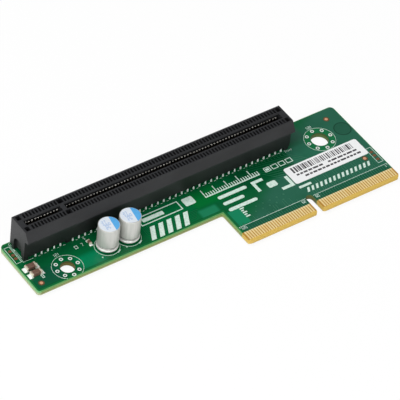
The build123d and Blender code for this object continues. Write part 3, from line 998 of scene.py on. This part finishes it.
# For each chip: its nodes, the length of its caps, its long axis, and the solder's reach and rise.
chips = (
    ("chip_capacitor_back", "chip_end_caps_back", 0.5, Vector((1, 0, 0)), 0.65, 0.6),
    ("chip_capacitor_front", "chip_end_caps_front", 0.5, Vector((1, 0, 0)), 0.65, 0.6),
    ("small_chip_capacitor", "small_chip_end_caps", 0.35, Vector((0, 1, 0)), 0.3, 0.3),
)
for body_node, caps_node, band, along, reach, rise in chips:
    low, high = box_mm(body_node)
    body_mesh = bmesh.new()
    lay_brick(body_mesh, low, high, 0.06)
    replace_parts(add_piece(body_node + "_ceramic", body_mesh, ceramic, smooth=True), body_node)
    low, high = box_mm(caps_node)
    caps_mesh = bmesh.new()
    length = (high - low).dot(along)
    width = (high - low).dot(Vector((along.y, along.x, 0)))
    for end in (0, 1):
        cap_low = low + along * (length - band) * end
        cap_high = high - along * (length - band) * (1 - end)
        lay_brick(caps_mesh, cap_low, cap_high, 0.09)
        away = along * (2 * end - 1)
        middle = (low + high) / 2 + away * length / 2
        foot = Vector((middle.x, middle.y, board_top))
        lay_fillet(fillets, foot, away, width, reach, rise)
        across = Vector((-away.y, away.x, 0)) * (width / 2 + land_margin)
        inner = foot - away * band
        outer = foot + away * (reach + 0.12)
        corners = (inner - across, outer - across, outer + across, inner + across)
        lay_plate(lands, [(c.x, c.y) for c in corners], board_level, board_top + land_rise)
    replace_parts(add_piece(caps_node + "_tinned", caps_mesh, silver, smooth=True), caps_node)
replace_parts(add_piece("chip_solder_curves", fillets, tin, smooth=True), "chip_solder_fillets")
add_piece("chip_lands", lands, tin)

# Paper label: a white self-adhesive sticker, printed with a strip of plain bars over two rows of
# short dashes. It is laid on the mask near the right edge.

off_white = paint(240, 241, 242)
paper, tree, shader, spot = mottled("label_paper", paint(249, 250, 250), off_white, 2.0, 0.6, detail=5.0)
relief(tree, shader, speckle(tree, spot, 0.3), 0.2, 0.01)
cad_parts["paper_label"].data.materials[0] = paper
label_ink = mottled("label_ink", paint(44, 42, 46), paint(84, 82, 86), 0.4, 0.6)[0]

label_low, label_high = box_mm("paper_label")
label_print = bmesh.new()
label_level = label_high.z - 0.005
label_ink_top = label_high.z + 0.012


def print_on_label(left, low, right, high):
    corners = [(left, low), (right, low), (right, high), (left, high)]
    lay_plate(label_print, corners, label_level, label_ink_top)


random.seed(11)
at = label_low.x + 1.9
while at < label_low.x + 22.6:
    wide = random.choice((0.2, 0.3, 0.42, 0.6))
    print_on_label(at, label_high.y - 2.85, at + wide, label_high.y - 0.65)
    at += wide + random.choice((0.2, 0.3, 0.42))
dash_height = 0.62
# Each row of dashes: how far it lies below the back edge, its start and end, and its gap.
for below, start, end, gap in ((4.1, 2.2, 23.0, 11.5), (5.45, 4.2, 22.4, 30.0)):
    line_y = label_high.y - below
    at = label_low.x + start
    while at < label_low.x + end:
        wide = random.choice((0.9, 1.3, 1.8))
        if abs(at - label_low.x - gap) > 0.8:
            print_on_label(at, line_y, at + wide, line_y + dash_height)
        at += wide + 0.3
add_piece("label_printing", label_print, label_ink)

# Table and room: the card lies on a white table in a white room. Both look white to the camera and
# in reflections, and give the card itself only a dim light, brighter from the left, so that the
# table keeps the card's soft shadow.

floor_level = cad_box[0][2] * 1000 - 0.02
card_middle = (0.045, 0.0, 0.0)
floor_mesh = bmesh.new()
bmesh.ops.create_circle(floor_mesh, cap_ends=True, segments=64, radius=3.0)
floor_shift = (card_middle[0], card_middle[1], floor_level / 1000)
bmesh.ops.translate(floor_mesh, vec=floor_shift, verts=floor_mesh.verts)
floor_data = bpy.data.meshes.new("table_top")
floor_mesh.to_mesh(floor_data)
floor_mesh.free()
table_top = bpy.data.objects.new("table_top", floor_data)
bpy.context.scene.collection.objects.link(table_top)


def mirror_rays(tree, rays):
    """1 for the rays that show a thing in a reflection or through a clear body."""
    return calc(tree, "MAXIMUM", rays.outputs["Is Glossy Ray"], rays.outputs["Is Transmission Ray"])


pure_white = (1, 1, 1, 1)
table_paint, tree, shader = surface("white_table", paint(252, 252, 252), 0.9)
rays = tree.nodes.new("ShaderNodeLightPath")
glow = tree.nodes.new("ShaderNodeEmission")
glow.inputs["Color"].default_value = pure_white
glow.inputs["Strength"].default_value = 1.0
seen = calc(tree, "MAXIMUM", rays.outputs["Is Camera Ray"], mirror_rays(tree, rays))
paint_and_glow = tree.nodes.new("ShaderNodeMixShader")
tree.links.new(calc(tree, "MULTIPLY", seen, 0.9), paint_and_glow.inputs[0])
tree.links.new(shader.outputs[0], paint_and_glow.inputs[1])
tree.links.new(glow.outputs[0], paint_and_glow.inputs[2])
tree.links.new(paint_and_glow.outputs[0], tree.nodes["Material Output"].inputs["Surface"])
floor_data.materials.append(table_paint)

room = bpy.data.worlds.new("white_room")
bpy.context.scene.world = room
room.use_nodes = True
tree = room.node_tree
rays = tree.nodes.new("ShaderNodeLightPath")
direction = tree.nodes.new("ShaderNodeSeparateXYZ")
tree.links.new(tree.nodes.new("ShaderNodeTexCoord").outputs["Generated"], direction.inputs[0])
ambient = ramp(tree, direction.outputs[0], -0.6, 0.7, 0.53, 0.17)
mirrored_room = ramp(tree, direction.outputs[2], 0.08, 0.5, 1.0, 0.12)
mirror_extra = calc(tree, "MULTIPLY", mirror_rays(tree, rays), calc(tree, "SUBTRACT", mirrored_room, ambient))
camera_extra = calc(tree, "MULTIPLY", rays.outputs["Is Camera Ray"], calc(tree, "SUBTRACT", 1.0, ambient))
strength = calc(tree, "ADD", calc(tree, "ADD", mirror_extra, camera_extra), ambient)
backdrop = tree.nodes["Background"]
backdrop.inputs["Color"].default_value = pure_white
tree.links.new(strength, backdrop.inputs["Strength"])

# Lamps: a large soft one overhead, and two small ones, from the left and from the front, that
# brighten the left end and the front edges.


def soft_lamp(name, spot_at, size, power):
    """A square lamp that looks at the card, in metres and watts."""
    light = bpy.data.lights.new(name, "AREA")
    light.size = size
    light.energy = power
    lamp = bpy.data.objects.new(name, light)
    lamp.location = spot_at
    lamp.rotation_euler = (Vector(card_middle) - Vector(spot_at)).to_track_quat("-Z", "Y").to_euler()
    bpy.context.scene.collection.objects.link(lamp)


soft_lamp("overhead_lamp", (-0.18, 0.0, 0.72), 0.5, 3.1)
soft_lamp("left_lamp", (-0.6, -0.2, 0.25), 0.3, 1.0)
soft_lamp("front_lamp", (-0.16, -0.58, 0.42), 0.25, 1.3)

# Camera: a long lens that looks down on the card from its front left. Its place and turn were
# fitted to the slot's contacts, whose spacing is known.

eye = Vector((-0.34323, -0.46407, 0.60117))
right_of_view = Vector((0.8181, -0.5682, 0.0879))
top_of_view = Vector((0.3509, 0.6145, 0.7065))
back_of_view = right_of_view.cross(top_of_view)
camera_data = bpy.data.cameras.new("camera")
camera_data.sensor_width = 36
camera_data.lens = 278.28
camera_data.clip_start = 0.01
camera_data.clip_end = 20
camera = bpy.data.objects.new("camera", camera_data)
turn = Matrix((right_of_view, top_of_view, back_of_view)).transposed()
camera.matrix_world = Matrix.Translation(eye) @ turn.to_4x4()
bpy.context.scene.collection.objects.link(camera)
bpy.context.scene.camera = camera
bpy.context.scene.view_settings.view_transform = "Standard"
